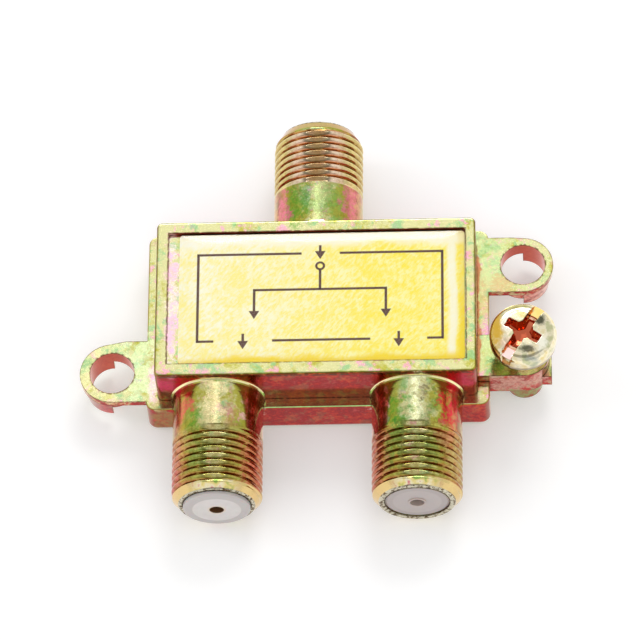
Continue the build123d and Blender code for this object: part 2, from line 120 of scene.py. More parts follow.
# Plain finishes: material slot, colour, roughness, and for plastics the grain in cycles per millimetre
METALS = (
    ("tinplate", (205, 205, 200), 0.25),
    ("contact_bronze", (214, 170, 96), 0.2),
    ("copper_wire", (200, 96, 50), 0.2),
    ("solder", (200, 202, 205), 0.2),
)
PLASTICS = (
    ("bushing_plastic", (235, 232, 222), 0.45, 3.0),
    ("board_laminate", (190, 150, 84), 0.5, 3.0),
    ("ferrite", (62, 60, 60), 0.6, 8.0),
    ("resistor_paint", (216, 190, 140), 0.4, 3.0),
    ("capacitor_coat", (190, 110, 50), 0.45, 3.0),
)
# The material slot of each CAD node, by a word in its name
SLOTS = {
    "cover": "tinplate", "foil": "label_print", "dome": "label_resin", "screw": "screw_plating",
    "insulator": "port_plastic", "contact": "contact_bronze", "bushing": "bushing_plastic",
    "board": "board_laminate", "core": "ferrite", "winding": "copper_wire",
    "resistor": "resistor_paint", "capacitor": "capacitor_coat", "solder": "solder",
}


def srgb(red, green, blue):
    """A colour given as 0 to 255 screen values, as the linear colour that a shader takes."""
    linear = []
    for value in (red, green, blue):
        share = value / 255
        linear.append(share / 12.92 if share <= 0.04045 else ((share + 0.055) / 1.055) ** 2.4)
    return (*linear, 1.0)


def smooth_step(low, high, value):
    """0 below low, 1 above high and a soft rise between them."""
    share = min(1.0, max(0.0, (value - low) / (high - low)))
    return share * share * (3 - 2 * share)


class Shader:
    """A material that is built node by node."""

    def __init__(self, name, world=None):
        self.material = world or bpy.data.materials.new(name)
        self.material.use_nodes = True
        self.tree = self.material.node_tree
        self.tree.nodes.clear()
        self.blotches = None  # the noises that all patches of this material share

    def node(self, kind, inputs=None, **settings):
        """A node with its settings, its inputs set to values or linked to outputs."""
        made = self.tree.nodes.new(kind)
        for key, value in settings.items():
            setattr(made, key, value)
        for key, value in (inputs or {}).items():
            socket = made.inputs[key]
            if isinstance(value, bpy.types.NodeSocket):
                self.tree.links.new(value, socket)
            else:
                socket.default_value = value
        return made

    def place(self):
        """The point on the piece in millimetres."""
        point = self.node("ShaderNodeTexCoord").outputs["Object"]
        return self.node("ShaderNodeVectorMath", {0: point, "Scale": 1 / MM}, operation="SCALE").outputs[0]

    def split(self, vector):
        """The x, y and z of a vector."""
        return self.node("ShaderNodeSeparateXYZ", {"Vector": vector}).outputs

    def normal_parts(self):
        """The x, y and z of the surface normal in the piece's own frame."""
        return self.split(self.node("ShaderNodeTexCoord").outputs["Normal"])

    def vector(self, operation, first, second):
        """A sum on vectors that gives a vector."""
        return self.node("ShaderNodeVectorMath", {0: first, 1: second}, operation=operation).outputs[0]

    def length(self, vector):
        """The length of a vector."""
        return self.node("ShaderNodeVectorMath", {0: vector}, operation="LENGTH").outputs["Value"]

    def math(self, operation, *values, clamp=False):
        """A sum on numbers."""
        inputs = dict(enumerate(values))
        return self.node("ShaderNodeMath", inputs, operation=operation, use_clamp=clamp).outputs[0]

    def times(self, first, *others):
        """A product."""
        for other in others:
            first = self.math("MULTIPLY", first, other)
        return first

    def scaled(self, value, factor, shift, clamp=False):
        """A value times a factor, plus a shift."""
        return self.math("MULTIPLY_ADD", value, factor, shift, clamp=clamp)

    def flip(self, value):
        """1 less the value."""
        return self.math("SUBTRACT", 1.0, value)

    def abs(self, value):
        """The value without its sign."""
        return self.math("ABSOLUTE", value)

    def noise(self, place, scale, detail=3.0, roughness=0.5, distortion=0.0):
        """Smooth noise from 0 to 1, with scale in cycles per millimetre."""
        inputs = {"Vector": place, "Scale": scale, "Detail": detail}
        inputs.update({"Roughness": roughness, "Distortion": distortion})
        return self.node("ShaderNodeTexNoise", inputs).outputs["Fac"]

    def rise(self, value, low, high):
        """0 where the value is below low and 1 above high."""
        inputs = {"Value": value, "From Min": low, "From Max": high}
        made = self.node("ShaderNodeMapRange", inputs, interpolation_type="SMOOTHSTEP")
        return made.outputs["Result"]

    def fade(self, value, low, high):
        """1 where the value is below low and 0 above high."""
        return self.flip(self.rise(value, low, high))

    def ramp(self, value, stops):
        """A colour looked up along stops of (place, colour)."""
        made = self.node("ShaderNodeValToRGB", {"Fac": value})
        elements = made.color_ramp.elements
        while len(elements) > 1:
            elements.remove(elements[-1])
        elements[0].position, elements[0].color = stops[0][0], srgb(*stops[0][1])
        for position, colour in stops[1:]:
            elements.new(position).color = srgb(*colour)
        return made.outputs["Color"]

    def mix(self, share, first, second, blend="MIX"):
        """A blend of two colours: outputs, screen colours of three values or linear ones of four."""
        inputs = {0: share}
        for socket, colour in ((6, first), (7, second)):
            on_screen = isinstance(colour, tuple) and len(colour) == 3
            inputs[socket] = srgb(*colour) if on_screen else colour
        return self.node("ShaderNodeMix", inputs, data_type="RGBA", blend_type=blend).outputs[2]

    def cover(self, under, over, *shares):
        """A colour over another, as strong as the product of the shares."""
        return self.mix(self.times(*shares), under, over)

    def bump(self, height, strength, distance):
        """A bumped normal, the distance in millimetres."""
        inputs = {"Height": height, "Strength": strength, "Distance": distance * MM}
        return self.node("ShaderNodeBump", inputs).outputs["Normal"]

    def finish(self, **inputs):
        """The surface, with inputs named as on the shader's own sockets."""
        named = {key.replace("_", " "): value for key, value in inputs.items()}
        surface = self.node("ShaderNodeBsdfPrincipled", named)
        self.node("ShaderNodeOutputMaterial", {"Surface": surface.outputs[0]})
        return self.material


# A patch of stain, painted highlight or painted shade, in parts of its reach: how far its outline strays
# and where it fades out. Patches at least this ragged are speckled too
PATCH_WANDER = 1.6
PATCH_FADE = (0.5, 1.25)
SPECKLED_FROM = 0.5


def patch(mat, place, centre, reach, ragged=0.75):
    """1 in a ragged, speckled blob round a point, 0 outside; centre and reach are on three axes."""
    distance = mat.length(mat.vector("DIVIDE", mat.vector("SUBTRACT", place, centre), reach))
    if not mat.blotches:
        speckle = mat.rise(mat.noise(place, 3.0, 4.0, 0.75), 0.4, 0.56)
        blotch = mat.rise(mat.noise(place, 0.8, 6.0, 0.7), 0.36, 0.64)
        mat.blotches = (blotch, mat.scaled(speckle, 0.5, 0.5))
    blotch, speckle = mat.blotches
    wander = mat.scaled(blotch, PATCH_WANDER * ragged, -PATCH_WANDER / 2 * ragged)
    inside = mat.fade(mat.math("ADD", distance, wander), *PATCH_FADE)
    return inside if ragged < SPECKLED_FROM else mat.times(inside, speckle)


def axis_distance(mat, place, x, y):
    """Distance of a point from an upright axis."""
    from_axis = mat.vector("SUBTRACT", place, (x, y, 0.0))
    return mat.length(mat.vector("MULTIPLY", from_axis, (1.0, 1.0, 0.0)))


class PortFrame:
    """Where the points of a surface lie round the nearest port."""

    def __init__(self, mat, place):
        self.at = mat.split(place)
        self.front = mat.math("LESS_THAN", self.at["Y"], 0.0)
        self.back = mat.flip(self.front)
        axis_x = mat.times(self.front, OUTLET_X)
        self.aside = mat.math("SUBTRACT", mat.abs(self.at["X"]), axis_x)
        self.height = mat.math("SUBTRACT", self.at["Z"], PORT_HEIGHT)
        squares = [mat.math("POWER", part, 2.0) for part in (self.aside, self.height)]
        self.radius = mat.math("SQRT", mat.math("ADD", *squares))
        self.along = mat.math("SUBTRACT", mat.abs(self.at["Y"]), BOX_HALF_DEPTH)


# Where the plating has its larger stains, and patches of painted highlight, painted light and painted shade:
# centre and reach on three axes, colour and strength
GREEN = (88, 156, 46)
PINK = (224, 116, 142)
STAINS_AND_PAINTED_LIGHT = (
    ((-12.3, -13.6, 8), (1.6, 2.2, 2.5), GREEN, 0.8),
    ((-13.8, -11.6, 7.4), (1.4, 1.8, 2.5), (224, 104, 92), 0.95),
    ((-8.9, -12.6, 9.2), (1, 1.2, 1.4), (206, 120, 124), 0.55),
    # Pale strips along the top of the out ports: painted highlight
    ((-10.6, -12, 9.45), (1.3, 3.4, 0.7), (252, 236, 180), 0.9),
    ((10.5, -12, 9.45), (1.1, 3.4, 0.8), (244, 250, 204), 0.95),
    # Pale pink on the left out port's flank facing the other: painted light, lifting the shade between the
    # ports
    ((-6.2, -12.6, 6), (1.8, 2.4, 3), (255, 212, 206), 1),
    ((8.3, -12.6, 8.6), (1.5, 2.6, 2), GREEN, 0.85),
    # Pale pink on the right out port's flank facing the other: painted light, lifting the shade between the
    # ports
    ((6.2, -12.6, 6.2), (1.7, 2.4, 3), (255, 212, 206), 1),
    ((12, -12.4, 8.9), (1, 2.2, 1.6), (96, 138, 52), 0.7),
    ((13.8, -12.4, 7.2), (1.2, 3.2, 2.4), (214, 44, 66), 1),
    ((11.2, -11, 9.4), (0.8, 0.9, 0.8), (120, 58, 26), 0.5),
    ((-2.2, 11.8, 9), (2, 3, 1.8), GREEN, 0.8),
    ((1.5, 11.6, 9.2), (1.9, 2.6, 1.8), (124, 176, 84), 0.75),
    ((-3.7, 11.6, 7.8), (1, 2.4, 2.2), PINK, 0.9),
    ((-4.6, 11.4, 6.6), (0.6, 2.8, 2.2), (214, 176, 92), 0.8),
    ((3.6, 12, 7.8), (1.1, 3.4, 2.2), PINK, 0.85),
    ((4.6, 11.8, 6.6), (0.6, 3, 2.2), (206, 168, 104), 0.8),
    # A pale strip along the top of the in port: painted highlight
    ((0.1, 11.8, 9.45), (0.7, 3.2, 0.5), (214, 232, 160), 0.8),
    ((-12, -17.6, 8.4), (1.8, 1.6, 2.6), (64, 150, 48), 0.8),
    ((-13.9, -16, 7), (1.2, 2.2, 2.6), (226, 176, 112), 0.6),
    ((-14.6, -18.2, 6), (1.1, 2.8, 2.8), (220, 74, 120), 0.8),
    ((8, -16.4, 8.4), (1.7, 2.8, 2.6), (34, 140, 44), 0.85),
    ((11.6, -17.2, 8.8), (1.6, 2, 2), (80, 154, 56), 0.75),
    ((6.4, -17, 6), (1.3, 3.2, 2.8), (228, 66, 112), 0.8),
    ((14.4, -17.4, 6.2), (1.2, 3.4, 2.6), (206, 196, 124), 0.6),
    ((13.2, -15.6, 8), (1, 1.2, 1.6), (214, 96, 110), 0.6),
    ((-6.6, -17.4, 6.6), (1.5, 3.6, 2.8), (222, 60, 88), 0.85),
    ((0, 17.6, 4.75), (6.5, 3.8, 6.5), (206, 148, 112), 0.5),
    ((-10.35, -17.2, 4.75), (6.5, 3.6, 6.5), (146, 128, 68), 0.4),
    ((10.35, -17.2, 4.75), (6.5, 3.6, 6.5), (146, 128, 68), 0.4),
    ((-15, 0, 9.8), (0.7, 9, 0.5), (246, 222, 222), 0.7),
    ((-15.2, 3.6, 9.8), (0.8, 1.8, 0.5), (240, 168, 212), 0.6),
    ((-15, -3.4, 9.8), (0.8, 2.2, 0.5), (240, 168, 212), 0.6),
    ((22, 7, 2.6), (4.5, 5, 2), (246, 186, 160), 0.75),
    ((17.7, -1.6, 4.7), (0.7, 2.6, 0.6), (230, 150, 200), 0.85),
    ((-15, -9.1, 8.2), (2.8, 0.8, 1.4), (200, 32, 84), 0.85),
    ((15.4, -9.1, 8), (1.8, 0.8, 1.4), (206, 40, 80), 0.8),
    ((-18.9, -5.6, 4.7), (1.7, 4.4, 0.9), (166, 224, 180), 0.75),
    ((-17.25, -6.6, 4.7), (0.45, 2.6, 0.9), (244, 190, 228), 0.9),
    ((-15.9, -10.2, 2.2), (1.8, 1.8, 3), (158, 128, 72), 0.85),
    ((17.4, 2.4, 4.7), (0.9, 3.6, 0.6), (214, 176, 124), 0.6),
    ((19.2, 6.4, 4.7), (5.5, 4.5, 0.9), (196, 216, 152), 0.7),
    ((19.3, 3.9, 4.7), (1.6, 1.4, 0.6), (206, 176, 124), 0.9),
    ((-21, -5.6, 4.7), (4.6, 4.4, 0.9), (240, 234, 172), 0.6),
    ((18.6, -4.6, 5.95), (3.4, 3, 0.5), (196, 216, 146), 0.65),
    # Dark green on the lug beside the screw head: painted shadow
    ((18.9, -6.3, 5.95), (1.3, 0.9, 0.5), (36, 104, 44), 0.75),
    ((21, -7.8, 4), (4.8, 1.4, 2), (210, 164, 146), 0.85),
    ((21.5, -6.6, 1.2), (2.8, 2, 1.9), (150, 158, 96), 1),
)

# Colours of the ports, as stops: the out ports' thread from root to crest, and the in port's upper side; dark
# roots are painted shade and pale crests painted highlights
BRASSY_THREAD = ((0.0, (40, 28, 12)), (0.16, (110, 80, 36)), (0.5, (170, 142, 72)), (0.92, (220, 210, 140)))
RUDDY_THREAD = (
    (0.0, (50, 26, 14)), (0.14, (140, 84, 40)), (0.45, (214, 158, 84)),
    (0.75, (238, 176, 150)), (1.0, (252, 230, 214)),
)
PORT_SPECKLE = ((0.38, (176, 128, 100)), (0.46, (220, 206, 172)), (0.56, (255, 255, 255)))
CONE_SPOTS = ((0.34, (150, 190, 96)), (0.44, (246, 226, 150)), (0.55, (255, 248, 214)), (0.64, (226, 140, 150)))

# Where the marks round the ports lie: a pair is where a mark starts and is full, or fades and is gone.
# ALONG is from the box wall, NOSE from the port's end, RADIUS, HEIGHT and ASIDE from its axis
BORE_RADIUS = (4.0, 4.1)
ROOT_ALONG, ROOT_FADE, ROOT_RADIUS, ROOT_HEIGHT = (0.0, 0.02), (0.1, 0.22), (5.04, 5.1), (0.4, 1.4)
BARREL_ALONG, THREAD_ALONG, THREAD_FADE = (0.2, 0.3), (5.05, 5.2), (11.5, 11.6)
GROOVE_RADIUS, CREST_CLIMB = 4.3, 0.425
BRASSY_ASIDE, FLAT_HEIGHT = (2.0, 3.6), (4.4, 4.56)
CONE_NOSE, CONE_RADIUS, CONE_ASIDE = (-0.95, -0.85), (3.96, 3.98), (1.2, 3.0)
RIM_NOSE, RIM_RADIUS = (-0.16, -0.12), (3.2, 3.3)


def root_highlight(mat, port, outside, tint):
    """The tint with a painted highlight: the bright line where the upper half of a barrel meets the wall."""
    close = mat.times(mat.rise(port.along, *ROOT_ALONG), mat.fade(port.along, *ROOT_FADE))
    near = mat.fade(port.radius, *ROOT_RADIUS)
    upper = mat.rise(port.height, *ROOT_HEIGHT)
    return mat.cover(tint, (255, 250, 190), close, near, upper, outside, 0.9)


def thread_marks(mat, port, place, outside, broad, tint):
    """The tint with speckled barrels, painted shade in the grooves, painted highlights on the crests and
    painted shade on the parting flats of the thread.
    """
    threaded = mat.times(mat.rise(port.along, *THREAD_ALONG), mat.fade(port.along, *THREAD_FADE))
    climb = mat.math("DIVIDE", mat.math("SUBTRACT", port.radius, GROOVE_RADIUS), CREST_CLIMB, clamp=True)
    brassy = mat.math("MAXIMUM", port.front, mat.rise(mat.abs(port.aside), *BRASSY_ASIDE))
    # Thread colour from root to crest: painted shade in the grooves, painted highlight on the crests
    thread = mat.mix(brassy, mat.ramp(climb, RUDDY_THREAD), mat.ramp(climb, BRASSY_THREAD))
    speckle = mat.ramp(mat.noise(place, 2.0, 5.0, 0.75), PORT_SPECKLE)
    thread = mat.mix(mat.scaled(port.back, -0.4, 0.8), thread, speckle, "MULTIPLY")
    barrel = mat.times(mat.rise(port.along, *BARREL_ALONG), outside)
    tint = mat.mix(mat.times(barrel, mat.scaled(threaded, 0.2, 0.3)), tint, speckle, "MULTIPLY")
    groove = mat.scaled(mat.fade(climb, 0.1, 0.9), 0.6, mat.scaled(port.back, 0.6, 0.15))
    tint = mat.cover(tint, thread, mat.math("MINIMUM", groove, 0.92), threaded, outside)
    # The parting flats of the thread painted darker: painted shade
    flat = mat.rise(mat.abs(port.height), *FLAT_HEIGHT)
    dark = mat.mix(broad, (92, 62, 30), (46, 78, 30))
    return mat.cover(tint, dark, threaded, flat, mat.scaled(port.back, 0.25, 0.5))


def cone_and_rim(mat, port, place, broad, fine, tint):
    """The tint with the shiny spotted cone at the mouth of each port, paler at its sides as a painted
    highlight, and its worn rim.
    """
    mouth = mat.scaled(port.back, INLET_EXTRA, OUTLET_LENGTH)
    past_nose = mat.math("SUBTRACT", port.along, mouth)
    cone = mat.times(mat.rise(past_nose, *CONE_NOSE), mat.rise(port.radius, *CONE_RADIUS))
    # Paler gold at the sides of the cone: painted highlight
    beside = mat.rise(mat.abs(port.aside), *CONE_ASIDE)
    spotted = mat.mix(beside, mat.ramp(broad, CONE_SPOTS), (224, 200, 136))
    spotted = mat.mix(port.back, spotted, mat.mix(fine, (214, 160, 120), (166, 152, 88)))
    tint = mat.cover(tint, spotted, cone, mat.scaled(port.front, 0.25, 0.75), 0.8)
    nicks = mat.rise(mat.noise(place, 2.2, 3.0, 0.7), 0.48, 0.58)
    worn = mat.mix(nicks, (196, 190, 168), (92, 72, 44))
    return mat.cover(tint, worn, mat.rise(past_nose, *RIM_NOSE), mat.rise(port.radius, *RIM_RADIUS))


def port_marks(mat, place, tint, fine):
    """The tint with all that lies round the ports."""
    port = PortFrame(mat, place)
    outside = mat.rise(port.radius, *BORE_RADIUS)
    broad = mat.noise(place, 0.9, 2.0, 0.5)
    tint = root_highlight(mat, port, outside, tint)
    tint = thread_marks(mat, port, place, outside, broad, tint)
    return cone_and_rim(mat, port, place, broad, fine, tint)


# Where the casting's dark edges, painted as shade, and other lines lie, as pairs on the axes
EDGE_X, EDGE_Y, EDGE_Z, EDGE_TOP = (16.5, 16.66), (8.86, 9.0), (9.7, 9.78), (10.285, 10.3)
RECESS_LINE, RECESS_LINE_Z = 0.14, (10.1, 10.2)
OUTLINE_SHADE_RADIUS, OUTLINE_SHADE_TURN, OUTLINE_SHADE_Y = 0.24, (0.9, 0.995), (13.9, 14.1)
LEDGE_X, LEDGE_Y, LEDGE_Z = (5.0, 8.0), (-9.1, -9.0), (5.2, 5.4)
SIDE_X, SIDE_X_FADE, SIDE_Y, SIDE_Z = (16.66, 16.72), (16.86, 17.1), (8.0, 9.0), (4.4, 4.6)
EAR_HOLE_RADIUS, BURR_RADIUS = (2.34, 2.36), (2.42, 2.56)
OCCLUSION_SHADE_REACH = 0.28


def edge_line_shade(mat, place):
    """1 along the edges of the box's top and of the label recess, where dark lines of shade are painted on the
    plating.
    """
    at = mat.split(place)
    across, along = mat.abs(at["X"]), mat.abs(at["Y"])
    outer = mat.math("MAXIMUM", mat.rise(across, *EDGE_X), mat.rise(along, *EDGE_Y))
    outer = mat.times(outer, mat.fade(at["Z"], *EDGE_TOP))
    inner = mat.rise(at["Z"], *RECESS_LINE_Z)
    for axis, (low, high) in (("X", RECESS_EDGES[:2]), ("Y", RECESS_EDGES[2:])):
        inner = mat.times(inner, mat.rise(at[axis], low - RECESS_LINE, low))
        inner = mat.times(inner, mat.fade(at[axis], high, high + RECESS_LINE))
    return mat.times(mat.rise(at["Z"], *EDGE_Z), mat.math("MAXIMUM", outer, inner))


def edge_outline_shade(mat, place):
    """1 along the sharp edges and corners of the casting, 0 on its faces and on the threads; dark lines of
    shade are painted there.
    """
    rounded = mat.node("ShaderNodeBevel", {"Radius": OUTLINE_SHADE_RADIUS * MM}, samples=8).outputs[0]
    true_normal = mat.node("ShaderNodeNewGeometry").outputs["Normal"]
    turned = mat.node("ShaderNodeVectorMath", {0: rounded, 1: true_normal}, operation="DOT_PRODUCT")
    edge = mat.fade(turned.outputs["Value"], *OUTLINE_SHADE_TURN)
    return mat.times(edge, mat.fade(mat.abs(mat.split(place)["Y"]), *OUTLINE_SHADE_Y))


# Colours of the plating, as stops: by how far the surface turns from facing up, and on walls that face
# along Y and along X; the film's colours, with the darker reds of walls and flanks painted in as shade
FILM_AND_SHADE_COLOURS = (
    (0.0, (206, 203, 148)), (0.03, (200, 196, 132)), (0.08, (180, 176, 78)),
    (0.2, (160, 158, 56)), (0.34, (178, 142, 62)), (0.5, (170, 106, 70)),
    (0.64, (160, 66, 56)), (0.8, (158, 64, 56)), (1.0, (170, 84, 62)),
)
WALL_COLOURS = ((0.34, (206, 76, 40)), (0.46, (188, 44, 38)), (0.54, (156, 28, 32)), (0.66, (192, 72, 70)))
SIDE_COLOURS = ((0.36, (214, 138, 122)), (0.5, (216, 190, 138)), (0.62, (206, 210, 146)))


def film_and_facing_shade(mat, normal, broad, fine):
    """The film: pale facing up, then green, gold and red, crimson on walls and pinker on the sides; the darker
    reds are painted shade.
    """
    turn = mat.flip(mat.abs(normal["Z"]))
    shifted = mat.scaled(mat.math("SUBTRACT", broad, 0.5), 0.5, turn)
    film = mat.scaled(mat.math("SUBTRACT", fine, 0.5), 0.22, shifted, clamp=True)
    tint = mat.ramp(film, FILM_AND_SHADE_COLOURS)
    wall = mat.ramp(mat.scaled(fine, 0.5, mat.times(broad, 0.5)), WALL_COLOURS)
    tint = mat.mix(mat.rise(mat.abs(normal["Y"]), 0.75, 0.95), tint, wall)
    facing_x = mat.rise(mat.abs(normal["X"]), 0.86, 1.0)
    return mat.mix(facing_x, tint, mat.ramp(broad, SIDE_COLOURS))


def top_mottling(mat, place, normal, tint):
    """The tint with pink and green mottling on what faces up."""
    up = mat.rise(normal["Z"], 0.9, 0.99)
    pink = mat.rise(mat.noise(place, 0.75, 4.0, 0.65, 0.3), 0.54, 0.66)
    tint = mat.cover(tint, (238, 156, 194), pink, up, 0.7)
    elsewhere = mat.vector("ADD", place, (31.0, 7.0, 3.0))
    green = mat.rise(mat.noise(elsewhere, 0.55, 5.0, 0.65, 0.4), 0.5, 0.62)
    return mat.cover(tint, (126, 186, 130), green, mat.scaled(up, 0.55, 0.12))


def ledge_and_side(mat, place, normal, broad, fine, tint):
    """The tint with an olive ledge in front of the box and a ragged brown line of painted shade beside its
    right wall.
    """
    at = mat.split(place)
    in_front = mat.times(mat.fade(at["Y"], *LEDGE_Y), mat.fade(mat.abs(at["X"]), *LEDGE_X))
    ledge = mat.times(mat.rise(normal["Z"], 0.5, 0.8), mat.fade(at["Z"], *LEDGE_Z), in_front)
    tint = mat.cover(tint, mat.mix(fine, (170, 244, 164), (208, 236, 164)), ledge, 0.9)
    # A ragged brown line beside the box's right wall: painted shade
    reach = mat.scaled(mat.math("SUBTRACT", broad, 0.5), 1.6, at["X"])
    beside = mat.math("SUBTRACT", mat.rise(at["X"], *SIDE_X), mat.rise(reach, *SIDE_X_FADE), clamp=True)
    beside = mat.times(beside, mat.rise(at["Z"], *SIDE_Z))
    beside = mat.math("SUBTRACT", beside, mat.rise(mat.abs(at["Y"]), *SIDE_Y), clamp=True)
    return mat.cover(tint, mat.mix(fine, (214, 130, 70), (156, 66, 48)), beside, 0.8)


def ear_hole_marks(mat, place, fine, tint):
    """The tint with red holes in the ears and a broken dark burr round them."""
    for ear in EARS:
        to_axis = axis_distance(mat, place, *ear)
        in_hole = mat.fade(to_axis, *EAR_HOLE_RADIUS)
        tint = mat.mix(in_hole, tint, mat.mix(fine, (206, 106, 80), (184, 70, 62)))
        burr = mat.math("SUBTRACT", mat.fade(to_axis, *BURR_RADIUS), in_hole)
        tint = mat.cover(tint, (92, 54, 34), burr, mat.rise(fine, 0.46, 0.56), 0.7)
    return tint


def plated_zinc():
    """Yellow-passivated zinc on a die casting, with its stains, painted highlights, dark lines of painted shade
    along its edges, and painted shade in its grooves and inner corners.
    """
    mat = Shader("plated_zinc")
    place, normal = mat.place(), mat.normal_parts()
    broad = mat.noise(place, 0.42, 5.0, 0.6, 0.5)
    fine = mat.noise(place, 2.4, 4.0, 0.65)
    tint = film_and_facing_shade(mat, normal, broad, fine)
    tint = top_mottling(mat, place, normal, tint)
    for centre, reach, colour, strength in STAINS_AND_PAINTED_LIGHT:
        tint = mat.cover(tint, colour, patch(mat, place, centre, reach), strength)
    tint = ledge_and_side(mat, place, normal, broad, fine, tint)
    tint = port_marks(mat, place, tint, fine)
    tint = ear_hole_marks(mat, place, fine, tint)
    # Dark lines along the edges: painted shade
    lines = mat.math("MAXIMUM", edge_line_shade(mat, place), edge_outline_shade(mat, place))
    tint = mat.cover(tint, (92, 56, 28), lines, mat.rise(fine, 0.3, 0.54), 0.85)
    # Painted shade in the grooves and along the inner corners, and small dark specks
    occlusion = mat.node("ShaderNodeAmbientOcclusion", {"Distance": OCCLUSION_SHADE_REACH * MM}, samples=8).outputs["AO"]
    shaded_tint = mat.mix(mat.rise(occlusion, 0.1, 0.52), (70, 50, 22), tint)
    specks = mat.rise(mat.noise(place, 3.6, 4.0, 0.7), 0.62, 0.72)
    shaded_tint = mat.cover(shaded_tint, (96, 76, 36), specks, 0.35)
    grain = mat.noise(place, 5.0, 3.0, 0.65)
    return mat.finish(
        Base_Color=shaded_tint,
        Metallic=1.0,
        Roughness=mat.scaled(fine, 0.16, 0.07),
        Normal=mat.bump(grain, 0.18, 0.02),
    )


def shaded(mat, share, colour, darker):
    """A colour that darkens to a part of itself where the share is 0."""
    linear = srgb(*colour)
    return mat.mix(share, tuple(darker * part for part in linear[:3]) + (1.0,), linear)


def plain_metal(name, colour, roughness):
    """A metal with a faint grain and slight changes of colour."""
    mat = Shader(name)
    grain = mat.noise(mat.place(), 4.0)
    return mat.finish(
        Base_Color=shaded(mat, grain, colour, 0.75),
        Metallic=1.0,
        Roughness=mat.scaled(grain, 0.2, roughness),
        Normal=mat.bump(grain, 0.15, 0.02),
    )


def plastic(name, colour, roughness, grain_scale):
    """A moulded plastic with a faint cloudiness."""
    mat = Shader(name)
    cloud = mat.noise(mat.place(), grain_scale)
    return mat.finish(
        Base_Color=shaded(mat, cloud, colour, 0.86), Roughness=roughness, Normal=mat.bump(cloud, 0.1, 0.02)
    )


# Films, painted reflections and painted highlights on the head of the ground screw, as the stains above
SCREW_FILMS_AND_REFLECTIONS = (
    ((18.75, -4.6, 10.8), (0.9, 2.6, 1.8), (216, 172, 44), 0.9),
    # Dark grey and blue-grey patches: painted reflections
    ((23.2, -3.9, 11.2), (0.85, 0.7, 1.2), (76, 76, 58), 0.95),
    ((22, -7.3, 11.2), (0.9, 0.4, 1.2), (58, 56, 40), 0.85),
    ((22.4, -8.2, 10.6), (0.8, 0.35, 1.2), (110, 130, 140), 0.6),
    ((20.2, -2.2, 11.2), (2.2, 0.5, 1.2), (180, 168, 86), 0.8),
    # White patches: painted highlights
    ((19.9, -4.2, 11.6), (0.7, 1, 1.2), (255, 252, 240), 0.8),
    ((23.4, -6.4, 11.4), (0.7, 1.2, 1.2), (255, 253, 236), 0.8),
    ((20, -6.6, 11.4), (0.8, 0.8, 1.2), (236, 196, 180), 0.5),
)


# Where the marks on the screw's head lie: radii from its axis, heights in the shared frame
RECESS_RADIUS, RECESS_Z = (3.2, 3.35), (9.8, 9.95)
CROSS_TOP, CROSS_SHADE = (10.72, 10.84), (10.05, 10.8)
SLOT_Z, SLOT_Z_FADE, SLOT_SIDES_Y = (10.8, 10.84), (10.88, 10.92), (-5.6, -4.8)
HEAD_EDGE_RADIUS, HEAD_EDGE_Z = (3.4, 3.5), (9.4, 9.9)
HEAD_PATCH_RAGGED = 0.3


def screw_finish():
    """Bright screw plating, pale gold on the head with painted reflections and highlights, a red-brown film
    left in the recess, and painted shade deep in the cross and under the head's edge.
    """
    mat = Shader("screw_plating")
    place, normal = mat.place(), mat.normal_parts()
    at = mat.split(place)
    height = at["Z"]
    radius = axis_distance(mat, place, *SCREW_AXIS)
    cloud = mat.noise(place, 0.9, 3.0, 0.5)
    shade = mat.ramp(cloud, ((0.34, (222, 204, 146)), (0.5, (238, 228, 198)), (0.64, (194, 194, 152))))
    recess = mat.times(mat.fade(radius, *RECESS_RADIUS), mat.rise(height, *RECESS_Z))
    wall = mat.times(recess, mat.fade(mat.abs(normal["Z"]), 0.3, 0.6))
    shade = mat.mix(wall, shade, mat.mix(cloud, (226, 168, 76), (196, 88, 44)))
    cross = mat.times(recess, mat.fade(height, *CROSS_TOP))
    # The cross darker toward its floor: painted shade
    shade = mat.mix(cross, shade, mat.mix(mat.rise(height, *CROSS_SHADE), (186, 92, 64), (220, 132, 96)))
    slot = mat.times(mat.rise(height, *SLOT_Z), mat.fade(height, *SLOT_Z_FADE))
    slot = mat.times(slot, mat.rise(normal["Z"], 0.8, 0.95))
    behind = mat.rise(at["Y"], *SLOT_SIDES_Y)
    shade = mat.mix(slot, shade, mat.mix(behind, (244, 196, 196), (238, 200, 112)))
    # A dark band round the lower edge of the head: painted shade
    edge = mat.times(mat.rise(radius, *HEAD_EDGE_RADIUS), mat.fade(height, *HEAD_EDGE_Z))
    shade = mat.cover(shade, (112, 78, 36), edge, 0.85)
    solid = mat.flip(mat.math("MAXIMUM", cross, slot))
    for centre, reach, colour, strength in SCREW_FILMS_AND_REFLECTIONS:
        shade = mat.cover(shade, colour, patch(mat, place, centre, reach, HEAD_PATCH_RAGGED), strength, solid)
    dents = mat.noise(place, 1.2, 2.0, 0.5)
    return mat.finish(Base_Color=shade, Metallic=1.0, Roughness=0.09, Normal=mat.bump(dents, 0.4, 0.05))


# Radii of the outer band, the hub and the pin hole of an insulator, and where in x the right one is
BAND_RADIUS, HUB_RADIUS, PIN_HOLE_RADIUS = (2.45, 2.6), (0.93, 0.97), (0.745, 0.765)
RIGHT_PORT_X = (3.0, 5.0)


